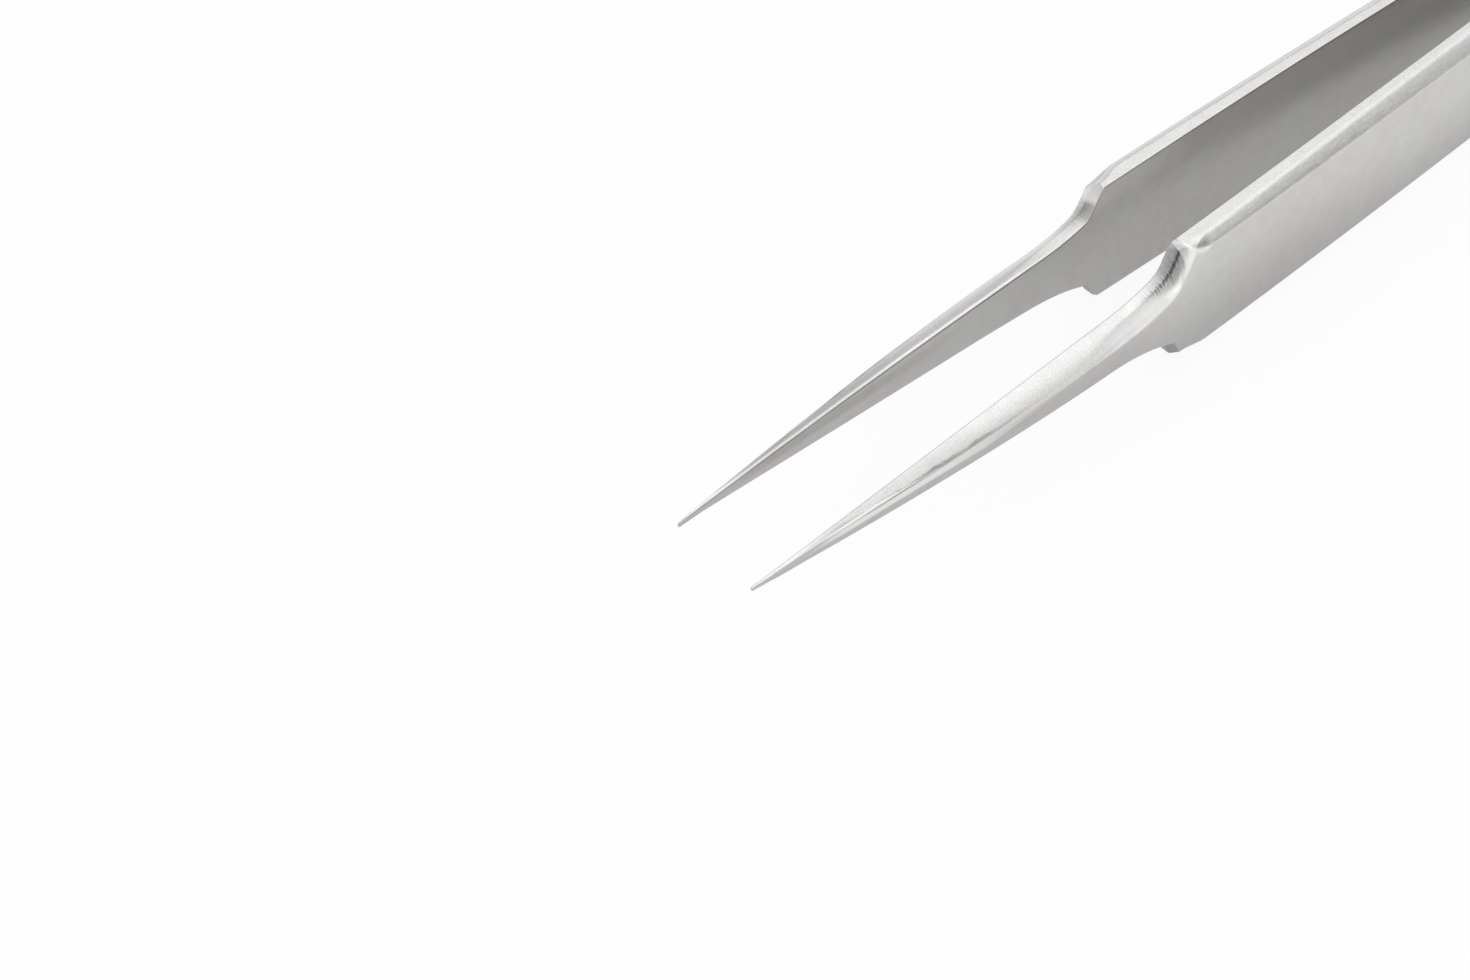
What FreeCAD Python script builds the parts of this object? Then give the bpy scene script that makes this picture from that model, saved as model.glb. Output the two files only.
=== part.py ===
import FreeCAD, Part
import math
import os

import Sketcher
from FreeCAD import Placement, Rotation, Vector

# Fine-point tweezers: two like arms of spring steel, welded face to face at the tail.
# +X runs towards the points, +Y is the side that the left arm opens to, and +Z is up.
# The tweezers lie on the long edges of their arms, and the origin is under the middle of their length.

os.makedirs("parts", exist_ok=True)
doc = FreeCAD.newDocument("Tweezers")

# Driving dimensions, in millimetres and degrees
SIZES = {
    "overall_length": 115,
    # Width of an arm, seen from its outer face
    "grip_width": 10.1,
    "shoulder_width": 9.56,
    "tail_width": 6.8,
    "full_width_from": 54,
    "full_width_to": 84,
    "tail_blend": 6,
    "tail_corner": 1.6,
    # Strip and bow of an arm, seen from its long edge
    "strip_thickness": 1.58,
    "gap": 6.4,
    "bow_setback": 10.5,
    "weld_length": 8,
    "bend_radius": 100,
    # Blade in front of the shoulder
    "blade_length": 34.15,
    "root_width": 3.68,
    "point_width": 0.2,
    "point_thickness": 0.12,
    "point_radius": 0.12,
    "taper_radius": 600,
    "root_angle": 2,
    "scallop_radius": 14,
    "scallop_angle": 17.5,
    "neck_radius": 1.2,
    "shoulder_angle": 65,
    "landing_length": 0.5,
    "landing_drop": 0.36,
    "heel_setback": 28,
    "heel_radius": 155,
    # Bevel along the outer corners of the grip
    "bevel_width": 0.8,
    "bevel_height": 0.75,
    "bevel_inset": 0.05,
    "bevel_setback": 2.6,
    "wheel_radius": 4,
    "wheel_sweep": 50,
    # Bevel along the outer corners of the blade
    "blade_flat": 0.66,
    "blade_bevel_drop": 0.9,
    "blade_bevel_lean": 0.55,
    "blade_bevel_stop": 0.35,
    # How far a cut reaches past what it cuts
    "cut_margin": 0.5,
    "cut_reach": 3,
}

# Places that follow from the driving dimensions
LAYOUT = {
    "point_x": "Sizes.overall_length / 2",
    "tail_x": "-Sizes.overall_length / 2",
    # Bow: a long arc that is widest at bow_x, and a reverse bend that lays the strip in the weld plane
    "weld_x": "tail_x + Sizes.weld_length",
    "bow_x": "point_x - Sizes.bow_setback",
    "centres": "((bow_x - weld_x)^2 + (Sizes.gap / 2)^2) / Sizes.gap",
    "inner_bow": "centres - Sizes.bend_radius",
    "outer_bow": "inner_bow + Sizes.strip_thickness",
    "outer_bend": "Sizes.bend_radius - Sizes.strip_thickness",
    "bow_y": "Sizes.gap / 2 - inner_bow",
    "bend_in_x": "bow_x + (weld_x - bow_x) * inner_bow / centres",
    "bend_in_y": "bow_y + (Sizes.bend_radius - bow_y) * inner_bow / centres",
    "bend_out_x": "bow_x + (weld_x - bow_x) * outer_bow / centres",
    "bend_out_y": "bow_y + (Sizes.bend_radius - bow_y) * outer_bow / centres",
    # Thickness of the blade: a flat ground from the point, and a heel that runs into the outer face
    "point_in_y": "bow_y + sqrt(inner_bow^2 - Sizes.bow_setback^2)",
    "point_out_y": "point_in_y + Sizes.point_thickness",
    "heel_x": "point_x - Sizes.heel_setback",
    "heel_y": "bow_y + sqrt(outer_bow^2 - (heel_x - bow_x)^2)",
    "heel_part": "(outer_bow - Sizes.heel_radius) / outer_bow",
    "heel_in_x": "bow_x + (heel_x - bow_x) * heel_part - point_x",
    "heel_in_y": "bow_y + (heel_y - bow_y) * heel_part - point_out_y",
    "heel_reach": "sqrt(heel_in_x^2 + heel_in_y^2)",
    "heel_run": "sqrt(heel_reach^2 - Sizes.heel_radius^2)",
    "ground_x": "point_x + heel_run * (heel_in_x * heel_run + heel_in_y * Sizes.heel_radius)"
                " / heel_reach^2",
    "ground_y": "point_out_y + heel_run * (heel_in_y * heel_run - heel_in_x * Sizes.heel_radius)"
                " / heel_reach^2",
    # Outline of the arm: point, tapered blade, scallop, shoulder, grip and tail
    "point_z": "Sizes.point_width / 2",
    "nose_x": "point_x - Sizes.point_radius + sqrt(Sizes.point_radius^2 - point_z^2)",
    "root_z": "Sizes.root_width / 2",
    "shoulder_x": "point_x - Sizes.blade_length",
    "shoulder_z": "Sizes.shoulder_width / 2",
    "landing_x": "shoulder_x + Sizes.landing_length",
    "landing_z": "shoulder_z - Sizes.landing_drop",
    "neck_rise": "Sizes.neck_radius * (cos(Sizes.scallop_angle) - cos(Sizes.shoulder_angle))",
    "scallop_rise": "Sizes.scallop_radius * (cos(Sizes.root_angle) - cos(Sizes.scallop_angle))",
    "foot_z": "root_z + scallop_rise + neck_rise",
    "foot_x": "landing_x + (landing_z - foot_z) / tan(Sizes.shoulder_angle)",
    "neck_x": "foot_x + Sizes.neck_radius * (sin(Sizes.shoulder_angle) - sin(Sizes.scallop_angle))",
    "neck_z": "root_z + scallop_rise",
    "root_x": "neck_x + Sizes.scallop_radius * (sin(Sizes.scallop_angle) - sin(Sizes.root_angle))",
    "grip_z": "Sizes.grip_width / 2",
    "tail_z": "Sizes.tail_width / 2",
    "full_x": "point_x - Sizes.full_width_from",
    "taper_x": "point_x - Sizes.full_width_to",
    "tail_angle": "atan((grip_z - tail_z) / (taper_x - tail_x))",
    "corner_z": "tail_z + Sizes.tail_corner * tan(tail_angle)",
    # Bevels: each cut starts outside the metal and leans into it
    "bevel_z": "grip_z - Sizes.bevel_height - Sizes.cut_margin",
    "bevel_lead": "Sizes.bevel_width / Sizes.bevel_height * Sizes.cut_margin - Sizes.bevel_inset",
    "bevel_bow": "outer_bow + bevel_lead",
    "bevel_bend": "outer_bend - bevel_lead",
    "bevel_bend_x": "bow_x + (weld_x - bow_x) * bevel_bow / centres",
    "bevel_bend_y": "bow_y + (Sizes.bend_radius - bow_y) * bevel_bow / centres",
    "runout_x": "shoulder_x + Sizes.cut_reach",
    "runout_y": "bow_y + sqrt(bevel_bow^2 - (runout_x - bow_x)^2)",
    "scoop_x": "shoulder_x - Sizes.bevel_setback",
    "scoop_y": "bow_y + sqrt(bevel_bow^2 - (scoop_x - bow_x)^2)",
    "scoop_end_x": "scoop_x + Sizes.wheel_radius * sin(Sizes.wheel_sweep)",
    "scoop_end_y": "scoop_y + Sizes.wheel_radius * (1 - cos(Sizes.wheel_sweep))",
    "taper_bevel_y": "bow_y + sqrt(bevel_bow^2 - (taper_x + Sizes.cut_reach - bow_x)^2)",
    "far_y": "Sizes.gap / 2 + Sizes.strip_thickness + Sizes.cut_reach",
    "blade_bevel_y": "Sizes.gap / 2 + Sizes.blade_flat",
    "lean": "Sizes.blade_bevel_lean * Sizes.cut_margin",
    "drop": "Sizes.blade_bevel_drop * Sizes.cut_margin",
    "stop_z": "landing_z - Sizes.blade_bevel_stop",
    "stop_x": "landing_x + Sizes.blade_bevel_stop / tan(Sizes.shoulder_angle)",
}


def make_sheet(name, cells):
    """A spreadsheet with one aliased cell for each name."""
    sheet = doc.addObject("Spreadsheet::Sheet", name)
    for row, (alias, content) in enumerate(cells.items(), start=1):
        sheet.set(f"A{row}", alias)
        sheet.set(f"B{row}", content)
        sheet.setAlias(f"B{row}", alias)
    return sheet


make_sheet("Sizes", {name: str(number) for name, number in SIZES.items()})
layout = make_sheet("Layout", {name: "=" + formula for name, formula in LAYOUT.items()})
doc.recompute()


def value(formula):
    """The number that a formula of sheet cells gives."""
    result = layout.evalExpression(formula)
    return float(getattr(result, "Value", result))


def plane_of(body, role):
    """One of the body's own origin planes."""
    return next(item for item in body.Origin.OriginFeatures if item.Role == role)


def new_sketch(body, name, role, offset=None):
    sketch = body.newObject("Sketcher::SketchObject", name)
    sketch.AttachmentSupport = [(plane_of(body, role), "")]
    sketch.MapMode = "FlatFace"
    if offset:
        sketch.setExpression("AttachmentOffset.Base.z", offset)
    return sketch


def pin(sketch, edge, end, place):
    """Hold one end of an edge at the place that two formulas give."""
    for kind, axis, formula in (("DistanceX", -2, place[0]), ("DistanceY", -1, place[1])):
        if formula == "0":
            sketch.addConstraint(Sketcher.Constraint("PointOnObject", edge, end, axis))
            continue
        index = sketch.addConstraint(Sketcher.Constraint(kind, edge, end, value(formula)))
        sketch.setExpression(f"Constraints[{index}]", formula)


def add_loop(sketch, corners):
    """A closed loop through the corners: each is x, y and, where an arc leaves it, the arc's radius.

    A radius is positive where the arc turns left on its way to the next corner, and negative where it
    turns right.
    """
    first = sketch.GeometryCount
    ends = []
    for number, corner in enumerate(corners):
        start = Vector(value(corner[0]), value(corner[1]), 0)
        after = corners[(number + 1) % len(corners)]
        stop = Vector(value(after[0]), value(after[1]), 0)
        if len(corner) == 2:
            edge = sketch.addGeometry(Part.LineSegment(start, stop))
            ends.append((1, 2))
            pin(sketch, edge, 1, corner)
            continue
        turn, formula = corner[2:]
        radius = value(formula)
        chord = stop - start
        height = math.sqrt(radius**2 - (chord.Length / 2) ** 2)
        left = Vector(-chord.y, chord.x, 0).normalize()
        centre = (start + stop) / 2 + left * height * turn
        begin, finish = (start, stop) if turn > 0 else (stop, start)
        angles = [math.atan2(end.y - centre.y, end.x - centre.x) for end in (begin, finish)]
        circle = Part.Circle(centre, Vector(0, 0, 1), radius)
        edge = sketch.addGeometry(Part.ArcOfCircle(circle, *angles))
        ends.append((1, 2) if turn > 0 else (2, 1))
        pin(sketch, edge, ends[-1][0], corner)
        index = sketch.addConstraint(Sketcher.Constraint("Radius", edge, radius))
        sketch.setExpression(f"Constraints[{index}]", formula)
    for number in range(len(corners)):
        following = (number + 1) % len(corners)
        sketch.addConstraint(
            Sketcher.Constraint(
                "Coincident", first + number, ends[number][1], first + following, ends[following][0]
            )
        )


def pad_strip(body):
    """The bowed strip, seen from its long edge: inner face, point, ground blade, outer face and tail."""
    sketch = new_sketch(body, "BowOutline", "XY_Plane")
    add_loop(
        sketch,
        [
            ("Layout.tail_x", "0"),
            ("Layout.weld_x", "0", 1, "Sizes.bend_radius"),
            ("Layout.bend_in_x", "Layout.bend_in_y", -1, "Layout.inner_bow"),
            ("Layout.point_x", "Layout.point_in_y"),
            ("Layout.point_x", "Layout.point_out_y"),
            ("Layout.ground_x", "Layout.ground_y", 1, "Sizes.heel_radius"),
            ("Layout.heel_x", "Layout.heel_y", 1, "Layout.outer_bow"),
            ("Layout.bend_out_x", "Layout.bend_out_y", -1, "Layout.outer_bend"),
            ("Layout.weld_x", "Sizes.strip_thickness"),
            ("Layout.tail_x", "Sizes.strip_thickness"),
        ],
    )
    strip = body.newObject("PartDesign::Pad", "Strip")
    strip.Profile = sketch
    strip.Midplane = True
    strip.setExpression("Length", "Sizes.grip_width + Sizes.cut_reach")
    doc.recompute()
    return strip


def upper_outline():
    """Corners of the arm's upper outline, from the point to the tail."""
    return [
        ("Layout.nose_x", "Layout.point_z", 1, "Sizes.taper_radius"),
        ("Layout.root_x", "Layout.root_z", -1, "Sizes.scallop_radius"),
        ("Layout.neck_x", "Layout.neck_z", -1, "Sizes.neck_radius"),
        ("Layout.foot_x", "Layout.foot_z"),
        ("Layout.landing_x", "Layout.landing_z"),
        ("Layout.shoulder_x", "Layout.shoulder_z"),
        ("Layout.full_x", "Layout.grip_z"),
        ("Layout.taper_x + Sizes.tail_blend", "Layout.grip_z", 1,
         "Sizes.tail_blend / tan(Layout.tail_angle / 2)"),
        ("Layout.taper_x - Sizes.tail_blend * cos(Layout.tail_angle)",
         "Layout.grip_z - Sizes.tail_blend * sin(Layout.tail_angle)"),
        ("Layout.tail_x + Sizes.tail_corner", "Layout.corner_z", 1, "Sizes.tail_corner"),
        ("Layout.tail_x", "Layout.tail_z - Sizes.tail_corner"),
    ]


def lower_outline():
    """The upper outline mirrored, from the tail to the point."""
    upper = upper_outline()
    lower = []
    for number in range(len(upper) - 1, -1, -1):
        x, z = upper[number][:2]
        arc = upper[number - 1][2:] if number else (1, "Sizes.point_radius")
        lower.append((x, f"-({z})", *arc))
    return lower


def cut_outline(body):
    """Everything outside the arm's outline, seen from its outer face, is cut away."""
    sketch = new_sketch(body, "ArmOutline", "XZ_Plane")
    add_loop(sketch, upper_outline() + lower_outline())
    reach = "Sizes.cut_reach"
    add_loop(
        sketch,
        [
            (f"Layout.tail_x - {reach}", f"-Layout.grip_z - {reach}"),
            (f"Layout.point_x + {reach}", f"-Layout.grip_z - {reach}"),
            (f"Layout.point_x + {reach}", f"Layout.grip_z + {reach}"),
            (f"Layout.tail_x - {reach}", f"Layout.grip_z + {reach}"),
        ],
    )
    outline = body.newObject("PartDesign::Pocket", "Outline")
    outline.Profile = sketch
    outline.Type = "ThroughAll"
    outline.Midplane = True
    doc.recompute()
    return outline


def slanted_cut(body, name, sketch, direction, length):
    """A cut whose walls lean along a direction of the body."""
    cut = body.newObject("PartDesign::Pocket", name)
    cut.Profile = sketch
    cut.UseCustomVector = True
    cut.AlongSketchNormal = False
    for axis, formula in zip("xyz", direction):
        cut.setExpression(f"Direction.{axis}", formula)
    cut.setExpression("Length", length)
    return cut


def cut_grip_bevel(body, front):
    """The bevel along the outer corner of the grip, with the path of the wheel at its front end."""
    sketch = new_sketch(body, "GripBevelPath", "XY_Plane", "Layout.bevel_z")
    start = ("Layout.bevel_bend_x", "Layout.bevel_bend_y", -1, "Layout.bevel_bow")
    add_loop(sketch, [start, *front, (front[-1][0], "Layout.far_y"), (start[0], "Layout.far_y")])
    return slanted_cut(
        body,
        "GripBevel",
        sketch,
        ("0", "-Sizes.bevel_width", "Sizes.bevel_height"),
        "Sizes.cut_reach",
    )


def cut_tail_bevel(body):
    """The same bevel where the arm narrows, on a plane that leans with the edge."""
    sketch = new_sketch(body, "TailBevelPath", "XY_Plane", "Layout.bevel_z")
    sketch.AttachmentOffset = Placement(Vector(), Rotation(Vector(0, -1, 0), 1))
    sketch.setExpression("AttachmentOffset.Base.x", "Layout.taper_x")
    sketch.setExpression("AttachmentOffset.Rotation.Angle", "Layout.tail_angle")
    tail_y = "Sizes.strip_thickness + Layout.bevel_lead"
    end_x = "Layout.tail_x - Layout.taper_x - Sizes.cut_reach"
    add_loop(
        sketch,
        [
            (end_x, tail_y),
            ("Layout.weld_x - Layout.taper_x", tail_y, 1, "Layout.bevel_bend"),
            ("Layout.bevel_bend_x - Layout.taper_x", "Layout.bevel_bend_y", -1, "Layout.bevel_bow"),
            ("Sizes.cut_reach", "Layout.taper_bevel_y"),
            ("Sizes.cut_reach", "Layout.far_y"),
            (end_x, "Layout.far_y"),
        ],
    )
    return slanted_cut(
        body,
        "TailBevel",
        sketch,
        ("0", "-Sizes.bevel_width", "Sizes.bevel_height"),
        "Sizes.cut_reach",
    )


def cut_blade_bevel(body):
    """The bevel along the blade and up the scallop, parallel to the arm's outline."""
    sketch = new_sketch(body, "BladeBevelPath", "XZ_Plane", "Sizes.cut_margin - Layout.blade_bevel_y")
    edge = [
        (f"{x} + Layout.lean", f"{z} + Layout.drop", *arc) for x, z, *arc in upper_outline()[:4]
    ]
    stop_x = "Layout.stop_x + Layout.lean"
    top_z = "Layout.grip_z + Sizes.cut_reach"
    add_loop(
        sketch,
        edge
        + [
            (stop_x, "Layout.stop_z + Layout.drop"),
            (stop_x, top_z),
            ("Layout.nose_x + Layout.lean", top_z),
        ],
    )
    return slanted_cut(
        body,
        "BladeBevel",
        sketch,
        ("-Sizes.blade_bevel_lean", "1", "-Sizes.blade_bevel_drop"),
        "Sizes.cut_reach",
    )


def mirror_down(body, cuts):
    """The same cuts on the lower edge."""
    mirrored = body.newObject("PartDesign::Mirrored", "LowerBevels")
    mirrored.Originals = cuts
    mirrored.MirrorPlane = (plane_of(body, "XY_Plane"), [""])
    body.Tip = mirrored
    doc.recompute()
    return mirrored


def make_arm(name, label, turn, front):
    """One arm: its middle plane is Z = 0 until it is placed, turned about +X by an angle."""
    body = doc.addObject("PartDesign::Body", name)
    body.Label = label
    steps = [pad_strip(body), cut_outline(body)]
    cuts = [cut_grip_bevel(body, front)]
    doc.recompute()
    for cut in (cut_tail_bevel, cut_blade_bevel):
        cuts.append(cut(body))
        doc.recompute()
    steps += cuts
    steps.append(mirror_down(body, cuts))
    for before, after in zip(steps, steps[1:]):
        if after.Shape.Volume >= before.Shape.Volume:
            raise RuntimeError(f"{label}: {after.Label} cuts nothing")
        print(label, after.Label, round(before.Shape.Volume - after.Shape.Volume, 3))
    body.Placement = Placement(Vector(), Rotation(Vector(1, 0, 0), turn))
    body.setExpression("Placement.Base.z", "Layout.grip_z")
    doc.recompute()
    return body


# The hand-ground bevels end differently: a scoop behind the left shoulder, a run out through the right
SCOOP = [
    ("Layout.scoop_x", "Layout.scoop_y", 1, "Sizes.wheel_radius"),
    ("Layout.scoop_end_x", "Layout.scoop_end_y"),
]
RUNOUT = [("Layout.runout_x", "Layout.runout_y")]

arms = [
    make_arm("LeftArm", "left_arm", 0, SCOOP),
    make_arm("RightArm", "right_arm", 180, RUNOUT),
]

for item in doc.Objects:
    faults = [state for state in item.State if state in ("Invalid", "Error")]
    if faults:
        raise RuntimeError(f"{item.Name}: {faults} {item.getStatusString()}")
for arm in arms:
    if arm.Shape.isNull() or not arm.Shape.isValid() or len(arm.Shape.Solids) != 1:
        raise RuntimeError(f"{arm.Label} is not one valid solid")
    arm.Shape.exportStep(f"parts/{arm.Label}.step")
    print(arm.Label, round(arm.Shape.Volume, 2), arm.Shape.BoundBox)
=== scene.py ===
"""Fine-point tweezers: the finish of the two arms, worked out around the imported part, and a plain stage."""

from types import SimpleNamespace

import bpy
import numpy as np
from bpy.props import FloatProperty, FloatVectorProperty, PointerProperty
from mathutils import Matrix, Vector


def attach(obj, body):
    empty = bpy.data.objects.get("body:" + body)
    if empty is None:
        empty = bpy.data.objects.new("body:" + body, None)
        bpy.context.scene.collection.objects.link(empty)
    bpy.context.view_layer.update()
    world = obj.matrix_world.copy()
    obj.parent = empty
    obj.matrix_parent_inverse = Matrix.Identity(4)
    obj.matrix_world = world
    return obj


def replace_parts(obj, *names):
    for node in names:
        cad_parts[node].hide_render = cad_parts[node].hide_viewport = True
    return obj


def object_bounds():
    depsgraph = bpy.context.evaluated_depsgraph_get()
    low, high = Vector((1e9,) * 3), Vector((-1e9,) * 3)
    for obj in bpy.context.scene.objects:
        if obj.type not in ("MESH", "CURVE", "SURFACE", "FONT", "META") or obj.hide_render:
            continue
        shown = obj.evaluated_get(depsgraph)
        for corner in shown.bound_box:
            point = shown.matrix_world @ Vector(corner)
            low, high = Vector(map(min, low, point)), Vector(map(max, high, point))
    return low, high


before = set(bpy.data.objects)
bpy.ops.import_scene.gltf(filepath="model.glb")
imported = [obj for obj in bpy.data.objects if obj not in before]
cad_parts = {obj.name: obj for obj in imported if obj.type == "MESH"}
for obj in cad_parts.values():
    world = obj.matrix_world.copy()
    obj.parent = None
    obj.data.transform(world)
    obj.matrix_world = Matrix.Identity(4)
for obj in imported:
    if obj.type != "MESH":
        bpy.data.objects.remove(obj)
CAD_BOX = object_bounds()

bl_info = {
    "name": "Fine-point tweezers",
    "version": (1, 0, 0),
    "blender": (4, 5, 0),
    "location": "3D View > Sidebar > Tweezers",
    "description": "Makes ground spring steel tweezers and the stage that they lie on",
    "category": "Object",
}

MM = 0.001
LOW, HIGH = CAD_BOX
PHOTO_WIDTH = 1470
FOCAL_PIXELS = 3000

# How finely the arms are worked out.
REACH = 1.1
HALVINGS = 26
PROBES = 201
SIDE_POINTS = 14
CORNER_CROWDING = 1.5
RIM_CROWDING = 2.2
SLOPE_STEP = 0.01 * MM
NORMAL_STEP = 0.002 * MM
TINY = 0.0001 * MM

# The grip's blend into its full width, and how far some changes reach past a place.
GRIP_BLEND = 0.1 * MM
SKEW_END = 3 * MM
RUNOUT_END = 0.3 * MM
ROOT_END = 2 * MM

# Finish of each arm's upper shoulder: where its grit and its neck are, and how dark they are painted, partly
# for grit and partly as painted shade.
LEFT_FINISH = SimpleNamespace(grit=-0.02, grit_soft=0.05, neck_end=1.0, facet=0.28, neck=0.32, burr=1.0)
RIGHT_FINISH = SimpleNamespace(grit=0.24, grit_soft=0.2, neck_end=0.5, facet=0.08, neck=0.4, burr=0.2)
GRIT_LEAN = 0.7
GRIT_END = (-0.3, 2.4)
NECK_START = -0.4
# Painted shade on the lower shoulder, which faces the floor.
LOWER_SHADE = 0.6
LOWER_NECK_END = 0.5

# The back of the grip, where the painted shade and the bevel's darkness lessen, the painted highlight inside,
# and the crease along the blade, which leaves the rim.
BACK_LIFT = 0.2
BACK_FADE = 0.3
INNER_HIGHLIGHT_HEIGHTS = (0.45, 0.9)
CREASE_FROM = 9.5
CREASE_RISE = 0.022
CREASE_NARROWER = 0.5
OFF_RIM = 10

# Noises of the steel: their scales, and their strengths with an offset.
GRAIN_SCALE = 9000.0
CLOUD_SCALE = 0.12
CAST_SCALE = 300.0
CUTS = {"Along": 11.0, "Across": 1.0}
STREAKS = {"Along": 1.2, "Across": 8.0}
STREAK_STRENGTH = 1.2
RAGGED = (0.9, -0.4)
WAVY = (0.16, -0.08)
CLOUD_ROUGHNESS = 0.04
CUT_RELIEF = 1.2

# Sine of the angle over the floor where the light from the side and from above is full.
HORIZON_HEIGHT = 0.3
SKY_HEIGHT = 0.9


def size(label, millimetres, about):
    """A length that the user can change."""
    return FloatProperty(
        name=label, description=about, default=millimetres * MM, unit="LENGTH", precision=5
    )


def number(label, default, about):
    """A plain number that the user can change."""
    return FloatProperty(name=label, description=about, default=default, precision=3)


def angle(label, degrees, about):
    """An angle that the user can change."""
    return FloatProperty(
        name=label, description=about, default=np.radians(degrees), subtype="ANGLE"
    )


def colour(label, default, about):
    """A colour that the user can change."""
    return FloatVectorProperty(
        name=label, description=about, default=default, subtype="COLOR", size=3, min=0, max=1
    )


class ArmSizes(bpy.types.PropertyGroup):
    """Sizes of both arms: those of the part, and the marks of hand grinding that only the scene has."""

    gap: size("Gap", 6.4, "Widest gap between the inner faces")
    strip_thickness: size("Strip thickness", 1.58, "Thickness of the strip")
    bow_setback: size("Bow setback", 10.5, "From the points to the widest gap")
    weld_length: size("Weld length", 8, "Length of the welded flat at the tail")
    bend_radius: size("Bend radius", 100, "Radius of the bend before the weld")
    shoulder_width: size("Shoulder width", 9.56, "Width at the shoulder")
    tail_width: size("Tail width", 6.8, "Width at the tail")
    full_width_from: size("Full width from", 54, "From the points to the widest part")
    full_width_to: size("Full width to", 84, "From the points to where it narrows")
    tail_blend: size("Tail blend", 6, "Half length of the narrowing curve")
    tail_corner: size("Tail corner", 1.6, "Radius of the tail's corners")
    blade_length: size("Blade length", 34.15, "From the point to the shoulder")
    root_width: size("Root width", 3.68, "Width where the scallop starts")
    point_width: size("Point width", 0.2, "Width of the point")
    point_thickness: size("Point thickness", 0.12, "Thickness of the point")
    point_radius: size("Point radius", 0.12, "Radius of the point's nose")
    taper_radius: size("Taper radius", 600, "Radius of the blade's long edges")
    root_angle: angle("Root angle", 2, "Slope where the scallop starts")
    scallop_radius: size("Scallop radius", 14, "Radius of the scallop")
    scallop_angle: angle("Scallop angle", 17.5, "Slope where the neck starts")
    left_neck: size("Left neck", 1.9, "Radius under the left shoulder")
    right_neck: size("Right neck", 1.4, "Radius under the right shoulder")
    shoulder_angle: angle("Shoulder angle", 65, "Slope of the shoulder")
    left_landing: size("Left landing", 0.38, "Length of the left shoulder's facet")
    left_drop: size("Left drop", 0.34, "Drop of the left shoulder's facet")
    right_setback: size("Right setback", 0.14, "How much further back the right shoulder is")
    right_landing: size("Right landing", 0.42, "Length of the right shoulder's facet")
    right_drop: size("Right drop", 0.68, "Drop of the right shoulder's facet")
    lower_neck: size("Lower neck", 0.6, "Radius under the lower shoulders")
    lower_scallop: angle("Lower scallop", 25, "Slope where the lower necks start")
    lower_landing: size("Lower landing", 0.4, "Length of the lower shoulders' facets")
    lower_drop: size("Lower drop", 0.35, "Drop of the lower shoulders' facets")
    left_skew: number("Left skew", 0.45, "How far the left shoulder slants back outwards")
    right_skew: number("Right skew", 0.16, "How far the right shoulder slants back outwards")
    blade_lean: number("Blade lean", 0.1, "How far the blade's edges fall outwards")
    heel_setback: size("Heel setback", 28, "From the point to the ground blade's start")
    heel_radius: size("Heel radius", 155, "Radius where the ground blade starts")
    bevel_width: size("Bevel width", 0.8, "Width of the grip's bevel across the strip")
    bevel_height: size("Bevel height", 0.75, "Height of the grip's bevel")
    bevel_inset: size("Bevel inset", 0.05, "How much further in the grip's bevel is cut")
    bevel_setback: size("Bevel setback", 2.6, "From the shoulder back to the scooped bevel")
    wheel_radius: size("Wheel radius", 4, "Radius of the wheel that starts the bevel")
    wheel_sweep: angle("Wheel sweep", 50, "Arc of the wheel where the bevel starts")
    left_flat: size("Left flat", 0.54, "Width of the flat on the left blade's edges")
    right_flat: size("Right flat", 0.66, "Width of the flat on the right blade's edges")
    blade_bevel_drop: number("Blade bevel drop", 0.9, "How far the bevel falls for its depth")
    left_lean: number("Left lean", 0.55, "How far the left blade's bevel leans back")
    right_lean: number("Right lean", 0.2, "How far the right blade's bevel leans back")
    flare: number("Flare", 0.45, "How far the blade bevel's hollow widens outwards")
    runout_dip: size("Run-out dip", 0.55, "How much deeper the right bevel runs out")
    runout_length: size("Run-out length", 2.2, "Length over which it gets deeper")
    scoop_shift: size("Scoop shift", 0.68, "How much nearer the shoulder the scoop is worn")
    edge_break: size("Edge break", 0.1, "Rounding of the inner edges")
    right_edge_break: size("Right edge break", 0.26, "Rounding of the right blade's inner edges")
    ridge_break: size("Ridge break", 0.04, "Rounding of the ridge in the scallop")
    blade_break: size("Blade break", 0.5, "Rounding of the same ridge along the blade")
    rim_break: size("Rim break", 0.33, "Rounding of the scallop's outer rim")
    line_break: size("Line break", 0.05, "Rounding of the blade's outer edge")
    grip_break: size("Grip break", 0.14, "Rounding of the grip's bevel")
    corner_break: size("Corner break", 0.8, "Rounding of the shoulder's outer corner")
    landing_break: size("Landing break", 0.14, "Rounding at both ends of the facets")
    end_break: size("End break", 0.15, "Rounding around the end of the tail")
    nose_break: size("Nose break", 0.05, "Rounding around the nose of the point")


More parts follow.
